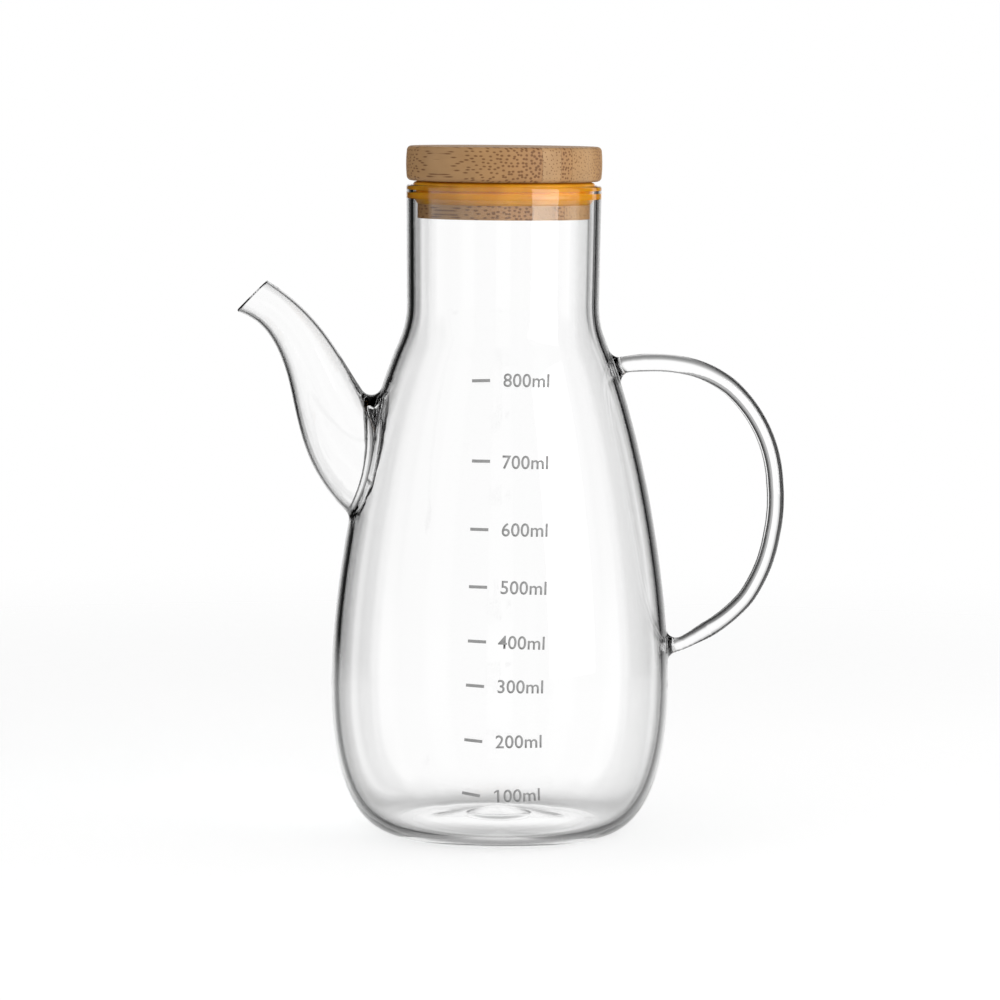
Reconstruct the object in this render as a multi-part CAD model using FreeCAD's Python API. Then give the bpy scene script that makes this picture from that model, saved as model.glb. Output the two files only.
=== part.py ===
import FreeCAD, Part
import os
from math import cos, radians, sin
from FreeCAD import Vector

# Glass oil dispenser, millimetres. It stands on z = 0 with the jug's axis on Z,
# the spout along -X and the handle along +X. It has three separate pieces: the
# blown jug with its spout and handle melted on, a bamboo lid and a silicone seal.

# Jug wall, as outside sizes
belly_radius = 50.1
belly_level = 44.4
neck_radius = 28.4
neck_level = 156.7
neck_bend = 26.0
shoulder_slope = 23.2
rim_radius = 28.8
rim_level = 192.2
wall = 2.0
edge_round = 0.42

# How far the wall's curves hold their direction, as shares of their spans
flank_hold = 0.26
shoulder_hold = 0.28
heel_hold = 0.76
heel_turn = 0.52

# Base: a flat ring to stand on, a shallow mound and a nub in its middle
ring_outer = 30.0
ring_inner = 26.0
base_wall = 2.6
mound_rise = 2.2
mound_foot = 19.5
mound_turn = 15.6
mound_swell = 1.3
nub_radius = 10.5
nub_rise = 1.9
nub_crown = 6.3
nub_edge = 7.4
nub_flare = 0.3

# Spout: four poles of its centre line, then the tube around it
spout_tip = Vector(-76.7, 0, 161.0)
spout_throat = Vector(-49.7, 0, 146.9)
spout_elbow = Vector(-56.9, 0, 122.3)
spout_root = Vector(-36.8, 0, 107.8)
spout_tip_radius = 5.5
spout_root_radius = 15.6
spout_growth = 1.5
spout_rings = (0.14, 0.26, 0.4, 0.55, 0.7, 0.85, 1.0)
spout_flare = 1.1
spout_reach = 7.0
spout_wall = 1.3
spout_weld = 3.2
lip_centre = Vector(-74.3, 0, 159.0)
lip_radius = 6.45
lip_tilt = 45.0

# Handle: a bent glass rod drawn thinner downwards, by points of its centre line
rod_top_radius = 2.45
rod_bottom_radius = 1.95
rod_points = [(30.9, 138.5), (44.8, 140.2), (56.7, 138.6), (77.6, 119.3),
              (81.6, 98.1), (76.6, 78.6), (64.7, 63.3), (48.0, 54.8)]
rod_weld = 2.8

# Lid: a bamboo disc with a plug below it
lid_radius = 28.9
lid_thickness = 10.2
lid_crown = 0.35
lid_round = 1.4
lid_lift = 1.2
plug_radius = 25.4
plug_length = 4.2

# Seal: a silicone band with two lips, held in a groove of the plug
seal_height = 6.7
seal_groove = 1.8
seal_lips = 2
lip_height = 1.7
lip_step = 2.7
lip_reach = 1.6
lip_slope = 0.3
seal_taper = 0.4
seal_gap = 0.15

lid_level = rim_level + lid_lift
plug_top = lid_level - seal_height
groove_radius = plug_radius - seal_groove


def place(point):
    return Vector(point[0], 0, point[1])


def line(start, end):
    return Part.LineSegment(place(start), place(end)).toShape()


def curve(*poles):
    bezier = Part.BezierCurve()
    bezier.setPoles([place(pole) for pole in poles])
    return bezier.toShape()


def chain(points):
    return [line(start, end) for start, end in zip(points, points[1:])]


def spin(edges):
    """Turn a closed half outline about Z, with the seam at the back."""
    solid = Part.Face(Part.Wire(edges)).revolve(Vector(), Vector(0, 0, 1), 360)
    solid.rotate(Vector(), Vector(0, 0, 1), 90)
    return solid


def jug_body(inset, floor, top):
    """Solid of the jug's wall moved inwards by the inset, from the floor to the top."""
    slope = radians(shoulder_slope)
    bend = neck_bend + inset
    neck = neck_radius - inset
    belly = belly_radius - inset

    def on_bend(angle):
        return neck + bend * (1 - cos(angle)), neck_level - bend * sin(angle)

    shoulder = on_bend(slope)
    reach = shoulder_hold * (shoulder[1] - belly_level)
    flank = curve((belly, belly_level), (belly, belly_level + flank_hold * (neck_level - belly_level)),
                  (shoulder[0] + reach * sin(slope), shoulder[1] - reach * cos(slope)), shoulder)
    bend_arc = Part.Arc(place(shoulder), place(on_bend(slope / 2)), place(on_bend(0)))
    heel = curve((ring_outer, floor), (ring_outer + heel_hold * (belly - ring_outer), floor),
                 (belly, floor + heel_turn * (belly_level - floor)), (belly, belly_level))
    rise = floor + mound_rise
    crest = rise + nub_rise
    nub = curve((0, crest), (nub_crown, crest), (nub_edge, rise + nub_flare), (nub_radius, rise))
    mound = curve((nub_radius, rise), (mound_turn, floor + mound_swell), (mound_foot, floor),
                  (ring_inner, floor))
    ring = line((ring_inner, floor), (ring_outer, floor))
    rim = (rim_radius - inset, top)
    closing = chain([on_bend(0), rim, (0, top), (0, crest)])
    return spin([nub, mound, ring, heel, flank, bend_arc.toShape()] + closing)


def spout_tube(inset, run_on):
    """Tapering tube lofted through rings along the spout, run on into the belly."""
    path = Part.BezierCurve()
    path.setPoles([spout_tip, spout_throat, spout_elbow, spout_root])
    tilt = radians(lip_tilt)
    rings = [Part.makeCircle(lip_radius - inset, lip_centre, Vector(-cos(tilt), 0, sin(tilt)))]
    for step in spout_rings:
        spread = (spout_root_radius - spout_tip_radius) * step ** spout_growth
        rings.append(Part.makeCircle(spout_tip_radius + spread - inset, path.value(step),
                                     -path.tangent(step)[0]))
    inwards = path.tangent(1.0)[0]
    rings.append(Part.makeCircle(spout_flare * spout_root_radius - inset,
                                 spout_root + inwards * run_on, -inwards))
    return Part.makeLoft([Part.Wire(ring) for ring in rings], True)


def handle_rod():
    """Round rod swept along a smooth curve through the handle's points."""
    spine = Part.BSplineCurve()
    spine.interpolate([place(point) for point in rod_points])
    ends = []
    for radius, at in ((rod_top_radius, spine.FirstParameter), (rod_bottom_radius, spine.LastParameter)):
        ends.append(Part.Wire(Part.makeCircle(radius, spine.value(at), spine.tangent(at)[0])))
    return Part.Wire(spine.toShape()).makePipeShell(ends, True, True)


def joint_edges(shape, first, second):
    """Edges of the shape that lie on the surfaces of both solids."""
    found = []
    for edge in shape.Edges:
        if edge.Degenerated:
            continue
        spots = [Part.Vertex(point) for point in edge.discretize(5)[1:4]]
        if all(solid.Shells[0].distToShape(spot)[0] < 0.01 for spot in spots for solid in (first, second)):
            found.append(edge)
    return found


def round_circles(shape, radius, picked):
    edges = [edge for edge in shape.Edges if edge.Closed and picked(edge)]
    return shape.makeFillet(radius, edges)


def glass_jug():
    body = jug_body(0, 0, rim_level)
    spout = spout_tube(0, spout_reach)
    rod = handle_rod()
    blank = body.fuse([spout, rod])
    blank = blank.makeFillet(spout_weld, joint_edges(blank, body, spout))
    blank = blank.makeFillet(rod_weld, joint_edges(blank, body, rod))
    hollow = jug_body(wall, base_wall, rim_level + wall)
    hollow = hollow.fuse(spout_tube(spout_wall, spout_reach + wall))
    jug = blank.cut(hollow)
    jug = round_circles(jug, edge_round * wall, lambda edge: edge.CenterOfMass.z > rim_level - 0.01)
    return round_circles(jug, edge_round * spout_wall,
                         lambda edge: edge.CenterOfMass.distanceToPoint(lip_centre) < spout_wall)


def bamboo_lid():
    top = lid_level + lid_thickness
    crown = Part.Arc(place((lid_radius - lid_crown, lid_level)),
                     place((lid_radius, lid_level + lid_thickness / 2)),
                     place((lid_radius - lid_crown, top)))
    below = chain([(lid_radius - lid_crown, lid_level), (groove_radius, lid_level),
                   (groove_radius, plug_top), (plug_radius, plug_top),
                   (plug_radius, plug_top - plug_length), (0, plug_top - plug_length),
                   (0, top), (lid_radius - lid_crown, top)])
    lid = spin(below + [crown.toShape()])
    return round_circles(lid, lid_round, lambda edge: edge.BoundBox.XLength > 2 * plug_radius + 1)


def neck_bore(level):
    """Inside radius of the neck, which opens slightly from its bend to the rim."""
    share = max(0, level - neck_level) / (rim_level - neck_level)
    return neck_radius + share * (rim_radius - neck_radius) - wall


def silicone_seal():
    waist = neck_bore(plug_top) - seal_gap - lip_reach
    outline = [(groove_radius, lid_level), (waist, lid_level)]
    for number in range(seal_lips):
        upper = lid_level - lip_slope - number * lip_step
        tip = neck_bore(upper - lip_height) - seal_gap
        outline += [(tip, upper), (tip, upper - lip_height + lip_slope),
                    (waist, upper - lip_height), (waist, upper - lip_step + lip_slope)]
    outline[-1] = (waist - seal_taper, plug_top)
    outline += [(groove_radius, plug_top), (groove_radius, lid_level)]
    return spin(chain(outline))


os.makedirs("parts", exist_ok=True)
pieces = {"glass_jug": glass_jug(), "bamboo_lid": bamboo_lid(), "silicone_seal": silicone_seal()}
for name, piece in pieces.items():
    solid = piece.Solids[0]
    print(name, len(piece.Solids), "solid", round(solid.Volume), "mm3")
    solid.exportStep("parts/" + name + ".step")
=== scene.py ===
import bmesh
import bpy
import numpy as np
from math import atan2, cos, pi, radians, sin
from mathutils import Matrix, Vector


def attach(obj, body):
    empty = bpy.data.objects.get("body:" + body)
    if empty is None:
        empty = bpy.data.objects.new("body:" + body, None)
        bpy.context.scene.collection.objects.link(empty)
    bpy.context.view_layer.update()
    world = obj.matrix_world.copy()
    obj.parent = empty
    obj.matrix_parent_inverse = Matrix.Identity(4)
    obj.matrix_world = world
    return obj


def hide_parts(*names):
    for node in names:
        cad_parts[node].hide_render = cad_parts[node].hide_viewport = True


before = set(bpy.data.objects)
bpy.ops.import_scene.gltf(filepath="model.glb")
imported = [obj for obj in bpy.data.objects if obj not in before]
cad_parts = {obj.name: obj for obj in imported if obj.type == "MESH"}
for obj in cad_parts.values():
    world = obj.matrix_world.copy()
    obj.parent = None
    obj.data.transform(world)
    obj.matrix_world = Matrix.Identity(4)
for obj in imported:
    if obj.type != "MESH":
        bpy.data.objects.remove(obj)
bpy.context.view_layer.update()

print("frame loaded")

# Metres, where a note doesn't say millimetres. The jug stands on z = 0, its spout
# points to -X, its handle to +X, and the printed scale faces -Y, towards the camera.


def newObject(name, data):
    thing = bpy.data.objects.new(name, data)
    bpy.context.scene.collection.objects.link(thing)
    return thing


# the object's mesh with its modifiers or letters worked out
def plainMesh(thing):
    bpy.context.view_layer.update()
    return bpy.data.meshes.new_from_object(thing.evaluated_get(bpy.context.evaluated_depsgraph_get()))


camera = {"distance": 1.30, "height": 0.22087, "aimHeight": 0.09897, "aimSide": -0.0004,
          "roll": 0.49, "lens": 158.5, "farthest": 20}


def makeCamera(c):
    data = bpy.data.cameras.new("camera")
    data.lens = c["lens"]
    data.clip_end = c["farthest"]
    cam = newObject("camera", data)
    cam.location = (c["aimSide"], -c["distance"], c["height"])
    drop = atan2(c["height"] - c["aimHeight"], c["distance"])
    turn = Matrix.Rotation(radians(90) - drop, 4, "X") @ Matrix.Rotation(radians(c["roll"]), 4, "Z")
    cam.matrix_world = Matrix.Translation(cam.location) @ turn
    bpy.context.scene.camera = cam


makeCamera(camera)
print("camera placed")


# small helpers for node trees

def newMaterial(name):
    mat = bpy.data.materials.new(name)
    mat.use_nodes = True
    mat.node_tree.nodes.clear()
    return mat, mat.node_tree


def feed(tree, socket, value):
    if isinstance(value, bpy.types.NodeSocket):
        tree.links.new(value, socket)
    else:
        socket.default_value = value


def math(tree, operation, *values):
    node = tree.nodes.new("ShaderNodeMath")
    node.operation = operation
    for socket, value in zip(node.inputs, values):
        feed(tree, socket, value)
    return node.outputs[0]


# stops hold a place from 0 to 1 and a colour or a grey
def ramp(tree, factor, stops):
    node = tree.nodes.new("ShaderNodeValToRGB")
    marks = node.color_ramp.elements
    while len(marks) < len(stops):
        marks.new(0.5)
    for mark, (place, colour) in zip(marks, stops):
        mark.position = place
        mark.color = (*colour, 1) if isinstance(colour, tuple) else (colour, colour, colour, 1)
    feed(tree, node.inputs[0], factor)
    return node.outputs[0]


def blend(tree, factor, first, second, kind="MIX"):
    node = tree.nodes.new("ShaderNodeMix")
    node.data_type = "RGBA"
    node.blend_type = kind
    feed(tree, node.inputs[0], factor)
    for socket, value in ((node.inputs[6], first), (node.inputs[7], second)):
        feed(tree, socket, (*value, 1) if isinstance(value, tuple) else value)
    return node.outputs[2]


def noise(tree, vector, scale, detail=2.0):
    node = tree.nodes.new("ShaderNodeTexNoise")
    feed(tree, node.inputs["Vector"], vector)
    node.inputs["Scale"].default_value = scale
    node.inputs["Detail"].default_value = detail
    return node.outputs["Fac"]


def bump(tree, height, strength, distance):
    node = tree.nodes.new("ShaderNodeBump")
    node.inputs["Strength"].default_value = strength
    node.inputs["Distance"].default_value = distance
    feed(tree, node.inputs["Height"], height)
    return node.outputs[0]


def combine(tree, x, y, z):
    node = tree.nodes.new("ShaderNodeCombineXYZ")
    for socket, value in zip(node.inputs, (x, y, z)):
        feed(tree, socket, value)
    return node.outputs[0]


# the place on the object, turned about its axis, whole and as its three parts
def objectPlace(tree, turn=0.0):
    coords = tree.nodes.new("ShaderNodeTexCoord")
    mapping = tree.nodes.new("ShaderNodeMapping")
    mapping.inputs["Rotation"].default_value = (0, 0, turn)
    tree.links.new(coords.outputs["Object"], mapping.inputs[0])
    parts = tree.nodes.new("ShaderNodeSeparateXYZ")
    tree.links.new(mapping.outputs[0], parts.inputs[0])
    return mapping.outputs[0], parts.outputs


def principled(tree, finish):
    node = tree.nodes.new("ShaderNodeBsdfPrincipled")
    for name, value in finish.items():
        node.inputs[name].default_value = value
    return node


def mixShaders(tree, factor, first, second):
    node = tree.nodes.new("ShaderNodeMixShader")
    for socket, value in zip(node.inputs, (factor, first, second)):
        tree.links.new(value, socket)
    return node.outputs[0]


def showSurface(tree, shader):
    out = tree.nodes.new("ShaderNodeOutputMaterial")
    tree.links.new(shader, out.inputs["Surface"])


def paint(node, mat):
    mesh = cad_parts[node].data
    mesh.materials.clear()
    mesh.materials.append(mat)


# clear blown glass

glass = {"finish": {"Base Color": (1, 1, 1, 1), "Roughness": 0.0, "IOR": 1.47, "Transmission Weight": 1.0},
         "waver": 60.0, "waverStrength": 0.3, "waverDepth": 0.00001, "shadow": (0.90, 0.91, 0.91, 1)}


def clearGlass(g):
    mat, tree = newMaterial("clearGlass")
    body = principled(tree, g["finish"])
    vector, _ = objectPlace(tree)
    waver = noise(tree, vector, g["waver"], 1.0)   # blown walls are never quite even
    tree.links.new(bump(tree, waver, g["waverStrength"], g["waverDepth"]), body.inputs["Normal"])
    clear = tree.nodes.new("ShaderNodeBsdfTransparent")
    clear.inputs[0].default_value = g["shadow"]
    path = tree.nodes.new("ShaderNodeLightPath")
    showSurface(tree, mixShaders(tree, path.outputs["Is Shadow Ray"], body.outputs[0], clear.outputs[0]))
    return mat


# Millimetres, lines as x and z. The handle's rod is filled out from its radius at top and bottom to its
# full radius and moved by its bow, outwards where that is above 0. Both ease in over the weld's distances
# from that end. The spout's wall is thinned on its inside, which eases in over the weld's distances from
# the jug's axis. A reach is in radii of the rod or the spout.
blown = {"curveError": 0.000008,      # metres
         "mostFaces": 190000, "rounds": 3, "widest": 52,
         "rod": {"line": [(30.9, 138.5), (44.8, 140.2), (56.7, 138.6), (77.6, 119.3),
                          (81.6, 98.1), (76.6, 78.6), (64.7, 63.3), (48.0, 54.8)],
                 "radius": (2.45, 1.95), "fullRadius": (2.66, 2.48), "startsAt": 30, "reach": 1.6,
                 "topWeld": (4.0, 13.0), "lowWeld": (6.5, 16.0), "full": 0.98,
                 "bow": [(0.0, 0.0), (0.16, 0.0), (0.28, 0.5), (0.40, 0.0), (0.52, -0.48), (0.63, -0.15),
                         (0.70, 0.5), (0.78, 1.0), (0.87, 0.2), (0.94, -0.6), (1.0, -0.6)]},
         "spout": {"line": [(-76.7, 161.0), (-49.7, 146.9), (-56.9, 122.3), (-36.8, 107.8)],
                   "radius": (5.5, 15.6), "growth": 1.5, "startsAt": -40, "reach": 1.25,
                   "thinnedBy": 0.5, "lip": 0.10, "weld": (43.0, 48.0), "steps": 500},
         # where the welds break the turned body: lowest and highest corners
         "welds": [((-90, -22, 92), (-24, 22, 136)), ((-90, -22, 130), (-34, 22, 170)),
                   ((22, -8, 128), (60, 8, 150)), ((40, -8, 44), (60, 8, 64))]}


def readVectors(items, name, kind=np.float64):
    values = np.empty(len(items) * 3, dtype=kind)
    items.foreach_get(name, values)
    return values.reshape(-1, 3)


# 0 up to low, 1 from high on and smooth between
def easeIn(value, low, high):
    share = np.clip((value - low) / (high - low), 0, 1)
    return share * share * (3 - 2 * share)


# the natural cubic through the points, as places, directions and distances along it
def smoothLine(points, count=1500):
    points = np.array(points)
    at = np.concatenate(([0], np.cumsum(np.linalg.norm(np.diff(points, axis=0), axis=1))))
    span, rise = np.diff(at), np.diff(points, axis=0)
    slopes = np.eye(len(points))
    bends = np.zeros_like(points)
    for k in range(1, len(points) - 1):
        slopes[k, k - 1:k + 2] = span[k - 1], 2 * (span[k - 1] + span[k]), span[k]
        bends[k] = 6 * (rise[k] / span[k] - rise[k - 1] / span[k - 1])
    bends = np.linalg.solve(slopes, bends)
    along = np.linspace(0, at[-1], count)
    k = np.clip(np.searchsorted(at, along, side="right") - 1, 0, len(span) - 1)
    h, a, b = span[k][:, None], (at[k + 1] - along)[:, None], (along - at[k])[:, None]
    line = ((bends[k] * a ** 3 + bends[k + 1] * b ** 3) / (6 * h)
            + (points[k] / h - bends[k] * h / 6) * a + (points[k + 1] / h - bends[k + 1] * h / 6) * b)
    return line, np.gradient(line, axis=0), along


# points drawn as x and z, in the jug's middle plane
def inPlane(points):
    return np.stack((points[:, 0], np.zeros(len(points)), points[:, 1]), 1)


# which point of the line lies nearest to each place, seen from the front
def nearest(places, line):
    gaps = ((places[:, None, [0, 2]] - line[None]) ** 2).sum(2)
    return gaps.argmin(1)


# the direction round a line at each place, in which a drawn tube is even
def aroundLine(around, picked, heading, offset):
    side = np.cross(inPlane(heading), offset)
    around[picked] = side / np.maximum(np.linalg.norm(side, axis=1), 1e-9)[:, None]


# the direction round the jug's axis at each place, and nothing where a weld breaks the turned body
def aroundBody(places, b):
    reach = np.hypot(places[:, 0], places[:, 1])
    turned = (reach > 1) & (reach < b["widest"])
    for low, high in b["welds"]:
        turned &= ~((places > low) & (places < high)).all(1)
    around = np.stack((-places[:, 1], places[:, 0], np.zeros(len(places))), 1)
    return around / np.maximum(reach, 1)[:, None] * turned[:, None]


def fillRod(places, around, r):
    line, heading, along = smoothLine(r["line"])
    picked = np.where(places[:, 0] > r["startsAt"])[0]
    close = nearest(places[picked], line)
    share, length = along[close] / along[-1], along[-1]
    centre = inPlane(line[close])
    offset = places[picked] - centre
    old, new = (np.interp(share, (0, 1), r[key]) for key in ("radius", "fullRadius"))
    amount = easeIn(along[close], *r["topWeld"]) * easeIn(length - along[close], *r["lowWeld"])
    amount *= np.linalg.norm(offset, axis=1) < r["reach"] * old
    outwards = np.stack((-heading[close, 1], heading[close, 0]), 1)
    outwards /= np.linalg.norm(outwards, axis=1)[:, None]
    shift = np.interp(share, *zip(*r["bow"])) * amount
    grown = 1 + (new / old - 1) * amount
    places[picked] = centre + offset * grown[:, None]
    places[picked, 0] += outwards[:, 0] * shift
    places[picked, 2] += outwards[:, 1] * shift
    clear = amount > r["full"]
    aroundLine(around, picked[clear], heading[close[clear]], offset[clear])


def thinSpout(places, normals, around, t):
    share = np.linspace(0, 1, t["steps"])[:, None]
    a, b, c, d = (np.array(pole) for pole in t["line"])
    line = (a * (1 - share) ** 3 + 3 * b * share * (1 - share) ** 2
            + 3 * c * share ** 2 * (1 - share) + d * share ** 3)
    picked = np.where(places[:, 0] < t["startsAt"])[0]
    close = nearest(places[picked], line)
    part = share[close, 0]
    inwards = inPlane(line[close]) - places[picked]
    reach = np.linalg.norm(inwards, axis=1)
    facing = (normals[picked] * inwards).sum(1) / np.maximum(reach, 0.001)
    width = t["radius"][0] + (t["radius"][1] - t["radius"][0]) * part ** t["growth"]
    away = np.hypot(places[picked, 0], places[picked, 1])
    ofSpout = reach < t["reach"] * width
    amount = np.clip(facing, 0, 1) * easeIn(away, *t["weld"]) * ofSpout
    places[picked] -= normals[picked] * (t["thinnedBy"] * amount)[:, None]
    clear = (part > t["lip"]) & (away > t["weld"][1]) & ofSpout
    aroundLine(around, picked[clear], np.gradient(line, axis=0)[close[clear]], inwards[clear])


def spotKey(co):
    return tuple(round(c * 1e7) for c in co)     # the same spot to a ten-thousandth of a millimetre


# splits the edges that cut a curve short, and puts their middles on the curve
def refine(form, b):
    kept = form.loops.layers.float_vector["keptNormal"]
    for _ in range(b["rounds"]):
        middles, picked = {}, []
        for edge in form.edges:
            shift = Vector((0, 0, 0))     # how far the curve stands off the edge's middle
            for loop in edge.link_loops:
                first, second = loop, loop.link_loop_next
                way = second.vert.co - first.vert.co
                n1, n2 = first[kept], second[kept]
                shift += (n2 * way.dot(n2) - n1 * way.dot(n1)) / 8 / len(edge.link_loops)
            if shift.length > b["curveError"]:
                middles[spotKey((edge.verts[0].co + edge.verts[1].co) / 2)] = shift
                picked.append(edge)
        if not picked or len(form.faces) + 2 * len(picked) > b["mostFaces"]:
            break
        bmesh.ops.subdivide_edges(form, edges=picked, cuts=1, use_grid_fill=True)
        for vert in form.verts:
            shift = middles.get(spotKey(vert.co))
            if shift:
                vert.co += shift
        bmesh.ops.triangulate(form, faces=[face for face in form.faces if len(face.verts) > 3])
        print("jug refined", len(picked), "edges,", len(form.faces), "faces")


# the frame's normals lean a little to the side on turned and drawn walls, which shows as a ragged edge
def straightenNormals(mesh, around):
    kept = readVectors(mesh.attributes["keptNormal"].data, "vector", np.float32)
    mesh.attributes.remove(mesh.attributes["keptNormal"])
    owners = np.empty(len(mesh.loops), dtype=np.int32)
    mesh.loops.foreach_get("vertex_index", owners)
    lean = around[owners]
    kept -= lean * (kept * lean).sum(1)[:, None]
    kept /= np.maximum(np.linalg.norm(kept, axis=1), 1e-6)[:, None]
    mesh.normals_split_custom_set(kept.tolist())
    mesh.update()


def blownJug(b):
    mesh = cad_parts["glass_jug"].data.copy()
    mesh.name = "blown_jug"
    kept = readVectors(mesh.corner_normals, "vector", np.float32)
    mesh.attributes.new("keptNormal", "FLOAT_VECTOR", "CORNER").data.foreach_set("vector", kept.ravel())
    form = bmesh.new()
    form.from_mesh(mesh)
    bmesh.ops.remove_doubles(form, verts=form.verts, dist=1e-7)
    refine(form, b)
    form.to_mesh(mesh)
    form.free()
    places = readVectors(mesh.vertices, "co") * 1000     # millimetres from here on
    normals = readVectors(mesh.vertex_normals, "vector")
    around = aroundBody(places, b)
    fillRod(places, around, b["rod"])
    thinSpout(places, normals, around, b["spout"])
    mesh.vertices.foreach_set("co", places.ravel() / 1000)
    straightenNormals(mesh, around)
    mesh.materials.clear()
    mesh.materials.append(clearGlass(glass))
    jug = newObject("blown_jug", mesh)
    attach(jug, "root")
    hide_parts("glass_jug")
    print("jug faces", len(mesh.polygons))
    return jug


jug = blownJug(blown)
print("glass done")


# laminated bamboo, cut across its fibres at the front

# strips: where each one ends across the lid, and how dense its fibres are at its start and end
bamboo = {"finish": {"Roughness": 0.5, "Specular IOR Level": 0.22}, "fibreTurn": 42.0,
          "firstEdge": -0.0300,
          "strips": [(-0.0123, 0.45, 1.0), (-0.0065, 0.30, 0.45), (-0.0024, 0.85, 0.70),
                     (0.0050, 0.50, 0.30), (0.0147, 0.30, 0.85), (0.0237, 0.35, 0.75),
                     (0.0300, 0.50, 0.90)],
          "seamHalfWidth": 0.00009, "drift": 90.0, "sway": 0.0006, "toneDrift": 0.3, "stripShift": 0.1,
          "dotSize": 0.00108, "dotScatter": 0.75, "dotFill": 0.34, "dotEdge": 6.0,
          "uneven": 700.0, "unevenFill": 0.20,
          "fibres": 1900.0, "fibreStretch": 0.04, "fibreShare": 0.45,
          "clouds": 160.0, "cloudLow": 0.84, "cloudRise": 0.3,
          "dotShare": 0.75, "seamShare": 0.3,
          "fibreRelief": 0.4, "reliefStrength": 0.35, "reliefDepth": 0.0001,
          "dark": (0.135, 0.052, 0.018), "dense": (0.40, 0.200, 0.085), "warm": (0.43, 0.235, 0.098),
          "pale": (0.53, 0.335, 0.180), "fibre": (0.56, 0.345, 0.165), "glue": (0.12, 0.055, 0.02)}


def bambooLid(b):
    mat, tree = newMaterial("bamboo")
    wood = principled(tree, b["finish"])
    vector, (along, across, up) = objectPlace(tree, radians(b["fibreTurn"]))
    drift = math(tree, "SUBTRACT", noise(tree, vector, b["drift"]), 0.5)
    shifted = math(tree, "ADD", across, math(tree, "MULTIPLY", drift, b["sway"]))
    tone, start, seams = 0.0, b["firstEdge"], 0.0
    for end, low, high in b["strips"]:
        inside = math(tree, "MULTIPLY", math(tree, "GREATER_THAN", across, start),
                      math(tree, "LESS_THAN", across, end))
        rise = (high - low) / (end - start)
        denser = math(tree, "MULTIPLY_ADD", math(tree, "SUBTRACT", across, start), rise, low)
        tone = math(tree, "ADD", tone, math(tree, "MULTIPLY", inside, denser))
        shifted = math(tree, "ADD", shifted, math(tree, "MULTIPLY", inside, high * b["stripShift"]))
        fromSeam = math(tree, "ABSOLUTE", math(tree, "SUBTRACT", across, end))
        seams = math(tree, "ADD", seams, math(tree, "LESS_THAN", fromSeam, b["seamHalfWidth"]))
        start = end
    tone = math(tree, "ADD", tone, math(tree, "MULTIPLY", drift, b["toneDrift"]))
    # bundles of fibres run the lid's whole length: round in the cut end, long streaks along the sides
    dots = tree.nodes.new("ShaderNodeTexVoronoi")
    dots.voronoi_dimensions = "2D"
    dots.inputs["Scale"].default_value = 1 / b["dotSize"]
    dots.inputs["Randomness"].default_value = b["dotScatter"]
    cutEnd = combine(tree, shifted, up, 0.0)
    tree.links.new(cutEnd, dots.inputs["Vector"])
    uneven = math(tree, "MULTIPLY", noise(tree, cutEnd, b["uneven"]), b["unevenFill"])
    fill = math(tree, "ADD", math(tree, "MULTIPLY", tone, b["dotFill"]), uneven)
    spots = math(tree, "MULTIPLY", math(tree, "SUBTRACT", fill, dots.outputs["Distance"]), b["dotEdge"])
    spots = math(tree, "MINIMUM", 1.0, math(tree, "MAXIMUM", 0.0, spots))
    ground = ramp(tree, tone, [(0.15, b["pale"]), (0.6, b["warm"]), (1.0, b["dense"])])
    grain = combine(tree, math(tree, "MULTIPLY", along, b["fibreStretch"]), shifted, up)
    fibres = noise(tree, grain, b["fibres"], 3.0)
    ground = blend(tree, math(tree, "MULTIPLY", fibres, b["fibreShare"]), ground, b["fibre"])
    cloud = math(tree, "MULTIPLY", noise(tree, vector, b["clouds"], 3.0), b["cloudRise"])
    cloud = math(tree, "ADD", b["cloudLow"], cloud)
    ground = blend(tree, 1.0, ground, combine(tree, cloud, cloud, cloud), "MULTIPLY")
    colour = blend(tree, math(tree, "MULTIPLY", spots, b["dotShare"]), ground, b["dark"])
    colour = blend(tree, math(tree, "MULTIPLY", seams, b["seamShare"]), colour, b["glue"])
    tree.links.new(colour, wood.inputs["Base Color"])
    relief = math(tree, "SUBTRACT", math(tree, "MULTIPLY", fibres, b["fibreRelief"]), spots)
    tree.links.new(bump(tree, relief, b["reliefStrength"], b["reliefDepth"]), wood.inputs["Normal"])
    showSurface(tree, wood.outputs[0])
    return mat


paint("bamboo_lid", bambooLid(bamboo))
print("bamboo done")


# amber silicone seal

# the outline in millimetres, radius and height: its two lips press into the neck's wall
sealShape = {"finish": {"Roughness": 0.3, "Subsurface Weight": 0.35, "Subsurface Scale": 0.002,
                        "Subsurface Radius": (1.0, 0.5, 0.15)},
             "colour": (0.95, 0.43, 0.014), "shade": (0.74, 0.29, 0.008), "clouds": 120.0,
             "ribs": 9000.0, "ribShare": 0.5, "grain": 900.0,
             "reliefStrength": 0.3, "reliefDepth": 0.0001, "sides": 256,
             "outline": [(23.6, 193.4), (25.3, 193.4), (25.9, 193.1), (26.5, 192.9), (26.75, 192.5),
                         (26.86, 191.6), (26.86, 190.9), (26.6, 190.65), (25.9, 190.5), (25.9, 190.2),
                         (26.6, 190.1), (26.85, 189.8), (26.84, 188.5), (26.7, 188.2), (26.0, 187.5),
                         (25.5, 186.7), (23.6, 186.7)]}


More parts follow.
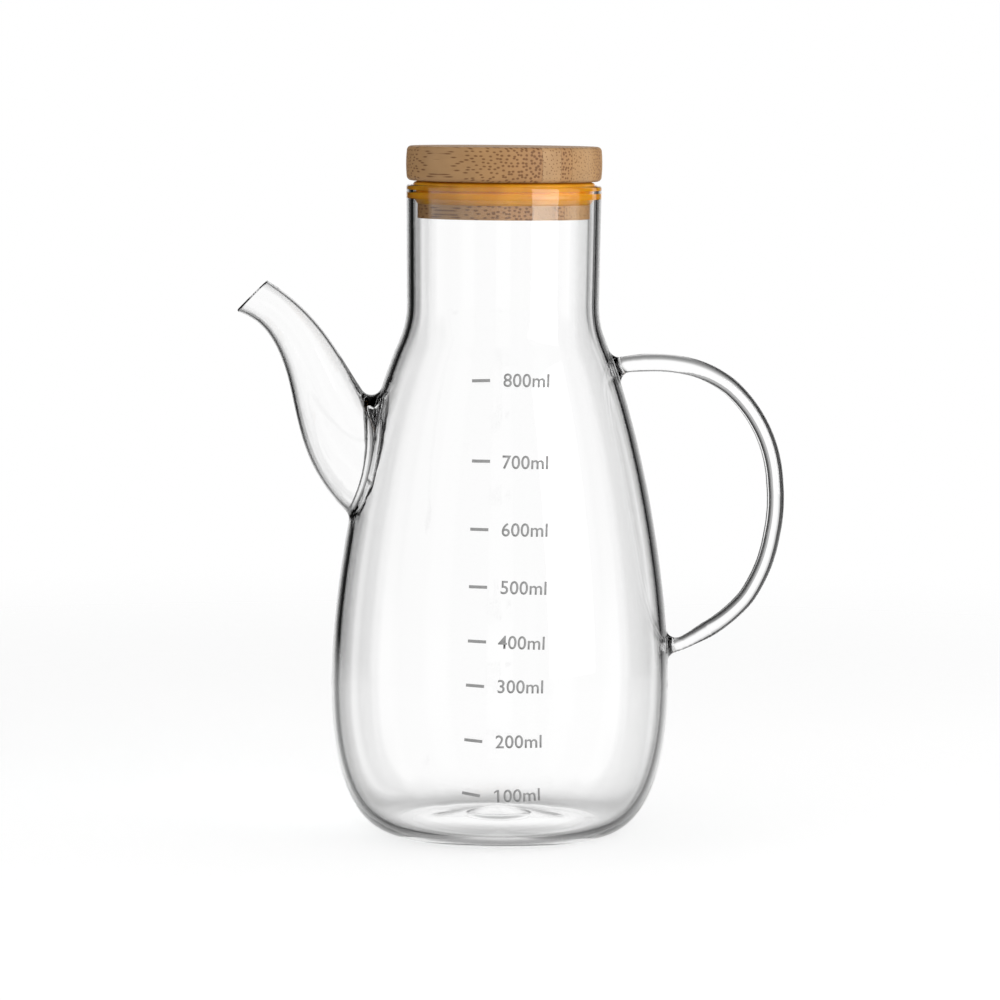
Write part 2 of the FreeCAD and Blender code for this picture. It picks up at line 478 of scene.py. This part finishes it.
def amberSilicone(s):
    mat, tree = newMaterial("amberSilicone")
    rubber = principled(tree, s["finish"])
    vector, (_, _, up) = objectPlace(tree)
    cloud = noise(tree, vector, s["clouds"], 3.0)
    colour = ramp(tree, cloud, [(0.3, s["shade"]), (0.7, s["colour"])])
    tree.links.new(colour, rubber.inputs["Base Color"])
    rib = math(tree, "SINE", math(tree, "MULTIPLY", up, s["ribs"]))
    rib = math(tree, "MULTIPLY", rib, s["ribShare"])
    relief = math(tree, "ADD", rib, noise(tree, vector, s["grain"]))
    tree.links.new(bump(tree, relief, s["reliefStrength"], s["reliefDepth"]), rubber.inputs["Normal"])
    showSurface(tree, rubber.outputs[0])
    return mat


def siliconeSeal(s):
    outline = [(r / 1000, z / 1000) for r, z in s["outline"]]
    count, sides = len(outline), s["sides"]
    points = [(r * cos(2 * pi * k / sides), r * sin(2 * pi * k / sides), z)
              for k in range(sides) for r, z in outline]
    faces = [(k * count + n, (k + 1) % sides * count + n, (k + 1) % sides * count + (n + 1) % count,
              k * count + (n + 1) % count) for k in range(sides) for n in range(count)]
    mesh = bpy.data.meshes.new("silicone_ring")
    mesh.from_pydata(points, [], faces)
    seal = newObject("silicone_ring", mesh)
    form = bmesh.new()
    form.from_mesh(mesh)
    bmesh.ops.recalc_face_normals(form, faces=form.faces)
    for face in form.faces:
        face.smooth = True
    form.to_mesh(mesh)
    form.free()
    mesh.materials.append(amberSilicone(s))
    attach(seal, "root")
    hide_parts("silicone_seal")


siliconeSeal(sealShape)
print("seal done")


# printed scale: dashes and volumes that follow the wall

# Each mark: volume, dash x and z, its slope, label x, z and slope (degrees). A digit's share is its height
# in the typeface's size; the flag has a reach, drop and thickness as shares of a digit's height.
scale = {"finish": {"Roughness": 0.6, "Specular IOR Level": 0.2}, "mottle": 1500.0, "greys": (0.32, 0.38),
         "reliefStrength": 0.2, "reliefDepth": 0.00002,
         "dash": (0.0052, 0.00088), "dashSteps": 9, "digitHeight": 0.0039, "digitShare": 0.73,
         "boldness": 0.010, "spread": 1.03, "curveSteps": 4, "lift": 0.00005, "thickness": 0.00003,
         "inFront": 0.2, "flag": (0.22, 0.30, 0.15),
         "marks": [(800, -0.00614, 0.1366, 2.2, 0.0070, 0.1365, -1.0),
                   (700, -0.00594, 0.1139, 0.2, 0.0068, 0.1134, -1.0),
                   (600, -0.00625, 0.0946, -0.6, 0.0068, 0.0943, -1.0),
                   (500, -0.00647, 0.0783, -0.7, 0.0066, 0.0779, -1.6),
                   (400, -0.00664, 0.0628, -2.0, 0.0062, 0.0623, -1.8),
                   (300, -0.00709, 0.0501, -3.2, 0.0059, 0.0497, -0.9),
                   (200, -0.00746, 0.0342, -4.9, 0.0056, 0.0338, 0.4),
                   (100, -0.00802, 0.0182, -9.3, 0.0053, 0.0178, 2.2)]}


def labelMesh(text, s):
    data = bpy.data.curves.new(text, "FONT")
    data.body = text
    data.size = s["digitHeight"] / s["digitShare"]
    data.offset = s["boldness"] * data.size
    data.space_character = s["spread"]
    data.align_x = "CENTER"
    data.align_y = "CENTER"
    data.resolution_u = s["curveSteps"]
    words = newObject(text, data)
    mesh = plainMesh(words)
    bpy.data.objects.remove(words)
    if text[0] == "1":      # this face's 1 is a bare stroke, so it gets its flag
        form = bmesh.new()
        form.from_mesh(mesh)
        left, top = min(v.co.x for v in form.verts), max(v.co.y for v in form.verts if v.co.x < 0)
        reach, drop, thick = (share * s["digitHeight"] for share in s["flag"])
        corners = [(left, top), (left - reach, top - drop + thick), (left - reach, top - drop),
                   (left, top - thick)]
        form.faces.new([form.verts.new((x, y, 0)) for x, y in corners])
        form.to_mesh(mesh)
        form.free()
    return newObject("label" + text, mesh)


# a point for each dash, with both slopes and the way from the dash to its label
def markPoints(s):
    mesh = bpy.data.meshes.new("markPoints")
    mesh.from_pydata([(m[1], 0, m[2]) for m in s["marks"]], [], [])
    for name, column in (("dashSlope", 3), ("labelSlope", 6)):
        slopes = mesh.attributes.new(name, "FLOAT", "POINT")
        for item, m in zip(slopes.data, s["marks"]):
            item.value = radians(m[column])
    shifts = mesh.attributes.new("labelShift", "FLOAT_VECTOR", "POINT")
    for item, m in zip(shifts.data, s["marks"]):
        item.vector = (m[4] - m[1], 0, m[5] - m[2])
    return newObject("printedScale", mesh)


def markTree(s, labels):
    tree = bpy.data.node_groups.new("printedScaleTree", "GeometryNodeTree")
    sockets = tree.interface
    sockets.new_socket("Geometry", in_out="OUTPUT", socket_type="NodeSocketGeometry")
    sockets.new_socket("Points", in_out="INPUT", socket_type="NodeSocketGeometry")
    for name, kind in (("Dash Width", "Float"), ("Dash Height", "Float"), ("Lift", "Float"),
                       ("Wall", "Object"), ("Ink", "Material")):
        sockets.new_socket(name, in_out="INPUT", socket_type="NodeSocket" + kind)
    nodes, links = tree.nodes, tree.links

    def vectorNode(operation):
        node = nodes.new("ShaderNodeVectorMath")
        node.operation = operation
        return node

    given = nodes.new("NodeGroupInput").outputs
    result = nodes.new("NodeGroupOutput")

    def stood(attribute):    # stands a flat shape up to face -Y and turns it by its slope
        slope = nodes.new("GeometryNodeInputNamedAttribute")
        slope.data_type = "FLOAT"
        slope.inputs["Name"].default_value = attribute
        down = nodes.new("ShaderNodeMath")
        down.operation = "MULTIPLY"
        down.inputs[1].default_value = -1
        turn = nodes.new("ShaderNodeCombineXYZ")
        turn.inputs["X"].default_value = radians(90)
        links.new(slope.outputs["Attribute"], down.inputs[0])
        links.new(down.outputs[0], turn.inputs["Y"])
        return turn.outputs[0]

    join = nodes.new("GeometryNodeJoinGeometry")
    dash = nodes.new("GeometryNodeMeshGrid")
    dash.inputs["Vertices X"].default_value = s["dashSteps"]
    dash.inputs["Vertices Y"].default_value = 2
    links.new(given["Dash Width"], dash.inputs["Size X"])
    links.new(given["Dash Height"], dash.inputs["Size Y"])
    dashes = nodes.new("GeometryNodeInstanceOnPoints")
    links.new(given["Points"], dashes.inputs["Points"])
    links.new(dash.outputs["Mesh"], dashes.inputs["Instance"])
    links.new(stood("dashSlope"), dashes.inputs["Rotation"])
    links.new(dashes.outputs[0], join.inputs[0])

    shift = nodes.new("GeometryNodeInputNamedAttribute")
    shift.data_type = "FLOAT_VECTOR"
    shift.inputs["Name"].default_value = "labelShift"
    moved = nodes.new("GeometryNodeSetPosition")
    links.new(given["Points"], moved.inputs["Geometry"])
    links.new(shift.outputs["Attribute"], moved.inputs["Offset"])
    number = nodes.new("GeometryNodeInputIndex")
    for count, label in enumerate(labels):
        word = nodes.new("GeometryNodeObjectInfo")
        word.inputs["Object"].default_value = label
        same = nodes.new("FunctionNodeCompare")
        same.data_type = "INT"
        same.operation = "EQUAL"
        same.inputs[3].default_value = count
        links.new(number.outputs[0], same.inputs[2])
        put = nodes.new("GeometryNodeInstanceOnPoints")
        links.new(moved.outputs[0], put.inputs["Points"])
        links.new(same.outputs[0], put.inputs["Selection"])
        links.new(word.outputs["Geometry"], put.inputs["Instance"])
        links.new(stood("labelSlope"), put.inputs["Rotation"])
        links.new(put.outputs[0], join.inputs[0])

    real = nodes.new("GeometryNodeRealizeInstances")
    links.new(join.outputs[0], real.inputs[0])
    spot = nodes.new("GeometryNodeInputPosition")
    front = vectorNode("ADD")    # rays start in front of the jug
    front.inputs[1].default_value = (0, -s["inFront"], 0)
    links.new(spot.outputs[0], front.inputs[0])
    wall = nodes.new("GeometryNodeObjectInfo")
    links.new(given["Wall"], wall.inputs["Object"])
    ray = nodes.new("GeometryNodeRaycast")
    ray.inputs["Ray Direction"].default_value = (0, 1, 0)
    ray.inputs["Ray Length"].default_value = 2 * s["inFront"]
    links.new(wall.outputs["Geometry"], ray.inputs["Target Geometry"])
    links.new(front.outputs[0], ray.inputs["Source Position"])
    raised = vectorNode("SCALE")
    links.new(ray.outputs["Hit Normal"], raised.inputs[0])
    links.new(given["Lift"], raised.inputs["Scale"])
    landing = vectorNode("ADD")
    links.new(ray.outputs["Hit Position"], landing.inputs[0])
    links.new(raised.outputs[0], landing.inputs[1])
    laid = nodes.new("GeometryNodeSetPosition")
    links.new(real.outputs[0], laid.inputs["Geometry"])
    links.new(landing.outputs[0], laid.inputs["Position"])
    inked = nodes.new("GeometryNodeSetMaterial")
    links.new(laid.outputs[0], inked.inputs["Geometry"])
    links.new(given["Ink"], inked.inputs["Material"])
    links.new(inked.outputs[0], result.inputs[0])
    return tree


def scaleInk(s):
    mat, tree = newMaterial("scaleInk")
    ink = principled(tree, s["finish"])
    vector, _ = objectPlace(tree)
    mottle = noise(tree, vector, s["mottle"], 3.0)
    tree.links.new(ramp(tree, mottle, list(zip((0.3, 0.7), s["greys"]))), ink.inputs["Base Color"])
    tree.links.new(bump(tree, mottle, s["reliefStrength"], s["reliefDepth"]), ink.inputs["Normal"])
    showSurface(tree, ink.outputs[0])
    return mat


def printScale(s, wall):
    ink = scaleInk(s)
    labels = [labelMesh(str(m[0]) + "ml", s) for m in s["marks"]]
    points = markPoints(s)
    tree = markTree(s, labels)
    modifier = points.modifiers.new("printedScale", "NODES")
    modifier.node_group = tree
    values = {"Dash Width": s["dash"][0], "Dash Height": s["dash"][1], "Lift": s["lift"],
              "Wall": wall, "Ink": ink}
    for item in tree.interface.items_tree:
        if item.in_out == "INPUT" and item.name in values:
            modifier[item.identifier] = values[item.name]
    mesh = plainMesh(points)
    for item in [points] + labels:
        bpy.data.objects.remove(item)
    sheet = newObject("printed_scale", mesh)
    skin = sheet.modifiers.new("skin", "SOLIDIFY")
    skin.thickness = s["thickness"]
    skin.offset = 1
    solid = plainMesh(sheet)
    sheet.modifiers.clear()
    sheet.data = solid
    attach(sheet, "root")
    print("scale faces", len(solid.polygons))


printScale(scale, jug)
print("scale done")


# floor, world and lamps

# Gaps and cards: degrees round from straight behind the jug to behind the camera, and how light it is
# there. The upDown places run from 0, straight down, to 1, straight up, and frontGlow's from front to back.
studio = {"floorSize": 3.0, "floorColour": 0.80, "floorGlow": 0.42, "fadeFrom": 0.28, "fadeTo": 0.75,
          "diffuse": 0.55, "lampAim": (0, 0, 0.12),
          "leftGaps": [(0, 1), (10, 0.95), (12, 0.66), (15, 0.62), (18, 0.54), (20, 0.02), (40, 0.005),
                       (66, 0)],
          "rightGaps": [(0, 1), (11, 1), (12.5, 0.44), (19, 0.44), (21, 0.20), (26, 0.15), (28, 0),
                        (39, 0), (40, 1), (50, 1), (53, 0)],
          "cards": [(79, 0), (81, 1), (99, 1), (101, 0), (124, 0), (126, 1), (144, 1), (146, 0),
                    (169, 0), (171, 1)],
          "upDown": [(0.0, 0.84), (0.08, 0.70), (0.14, 0.32), (0.24, 0.22), (0.31, 0.36), (0.36, 0.66),
                     (0.39, 0.93), (0.41, 1.0), (0.80, 1.0), (0.86, 0.10), (1.0, 0.05)],
          "frontGlow": [(0.42, 0.85), (0.50, 0.0)]}


def makeFloor(s):
    mesh = bpy.data.meshes.new("floor")
    half = s["floorSize"] / 2
    mesh.from_pydata([(-half, -half, 0), (half, -half, 0), (half, half, 0), (-half, half, 0)], [],
                     [(0, 1, 2, 3)])
    floor = newObject("floor", mesh)
    mat, tree = newMaterial("paleFloor")
    matt = tree.nodes.new("ShaderNodeBsdfDiffuse")
    matt.inputs[0].default_value = (s["floorColour"],) * 3 + (1,)
    glow = tree.nodes.new("ShaderNodeEmission")
    path = tree.nodes.new("ShaderNodeLightPath")
    seen = math(tree, "MAXIMUM", path.outputs["Is Camera Ray"], path.outputs["Is Glossy Ray"])
    tree.links.new(math(tree, "MULTIPLY", seen, s["floorGlow"]), glow.inputs["Strength"])
    both = tree.nodes.new("ShaderNodeAddShader")
    tree.links.new(matt.outputs[0], both.inputs[0])
    tree.links.new(glow.outputs[0], both.inputs[1])
    # the floor runs out softly into the white studio, which is also what shows through the glass
    vector, _ = objectPlace(tree)
    reach = tree.nodes.new("ShaderNodeVectorMath")
    reach.operation = "LENGTH"
    tree.links.new(vector, reach.inputs[0])
    fade = tree.nodes.new("ShaderNodeMapRange")
    fade.interpolation_type = "SMOOTHSTEP"
    fade.inputs["From Min"].default_value = s["fadeFrom"]
    fade.inputs["From Max"].default_value = s["fadeTo"]
    tree.links.new(reach.outputs["Value"], fade.inputs["Value"])
    gone = math(tree, "MAXIMUM", fade.outputs[0], path.outputs["Is Transmission Ray"])
    clear = tree.nodes.new("ShaderNodeBsdfTransparent")
    showSurface(tree, mixShaders(tree, gone, both.outputs[0], clear.outputs[0]))
    mesh.materials.append(mat)


def makeWorld(s):
    world = bpy.data.worlds.new("studio")
    bpy.context.scene.world = world
    world.use_nodes = True
    tree = world.node_tree
    tree.nodes.clear()
    out = tree.nodes.new("ShaderNodeOutputWorld")
    sky = tree.nodes.new("ShaderNodeBackground")
    sky.inputs["Color"].default_value = (1, 1, 1, 1)
    coords = tree.nodes.new("ShaderNodeTexCoord")
    parts = tree.nodes.new("ShaderNodeSeparateXYZ")
    tree.links.new(coords.outputs["Generated"], parts.inputs[0])
    x, y, z = parts.outputs
    # white behind the jug, then dark gaps with white cards between them round to the front
    turn = math(tree, "DIVIDE", math(tree, "ABSOLUTE", math(tree, "ARCTAN2", x, y)), pi)
    sides = []
    for gaps in (s["leftGaps"], s["rightGaps"]):
        sides.append(ramp(tree, turn, [(degrees / 180, level) for degrees, level in gaps + s["cards"]]))
    ring = blend(tree, math(tree, "GREATER_THAN", x, 0.0), sides[0], sides[1])
    # white near level and some way up, dark overhead, grey towards the table, pale straight down
    height = math(tree, "ADD", math(tree, "MULTIPLY", z, 0.5), 0.5)
    level = ramp(tree, height, s["upDown"])
    through = math(tree, "MULTIPLY", ring, level)
    # light that a wall has thrown back also shows the brighter front of the studio
    path = tree.nodes.new("ShaderNodeLightPath")
    bounced = math(tree, "MINIMUM", path.outputs["Glossy Depth"], 1.0)
    front = ramp(tree, math(tree, "ADD", math(tree, "MULTIPLY", y, 0.5), 0.5), s["frontGlow"])
    through = math(tree, "MAXIMUM", through, math(tree, "MULTIPLY", bounced, front))
    glassy = math(tree, "MAXIMUM", path.outputs["Is Glossy Ray"], path.outputs["Is Transmission Ray"])
    shown = math(tree, "ADD", path.outputs["Is Camera Ray"], math(tree, "MULTIPLY", glassy, through))
    # what lights matt pieces is even, also where it reaches them through the glass
    lit = math(tree, "MINIMUM", path.outputs["Diffuse Depth"], 1.0)
    even = tree.nodes.new("ShaderNodeMix")
    tree.links.new(lit, even.inputs[0])
    tree.links.new(shown, even.inputs[2])
    even.inputs[3].default_value = s["diffuse"]
    tree.links.new(even.outputs[0], sky.inputs["Strength"])
    tree.links.new(sky.outputs[0], out.inputs[0])


lamps = {"key": {"place": (0.95, -0.80, 0.42), "size": (0.8, 0.9), "power": 9.7, "mirrored": True},
         "fill": {"place": (-1.0, -0.5, 0.9), "size": (0.8, 0.8), "power": 1.5, "mirrored": False}}


def makeLamp(name, p, aim):
    data = bpy.data.lights.new(name, "AREA")
    data.shape = "RECTANGLE"
    data.size, data.size_y = p["size"]
    data.energy = p["power"]
    lamp = newObject(name, data)
    lamp.visible_glossy = p["mirrored"]
    lamp.visible_transmission = False
    lamp.location = p["place"]
    lamp.rotation_euler = (Vector(aim) - lamp.location).to_track_quat("-Z", "Y").to_euler()


makeFloor(studio)
makeWorld(studio)
for name, p in lamps.items():
    makeLamp(name, p, studio["lampAim"])
bpy.context.scene.view_settings.view_transform = "Standard"
print("studio done")
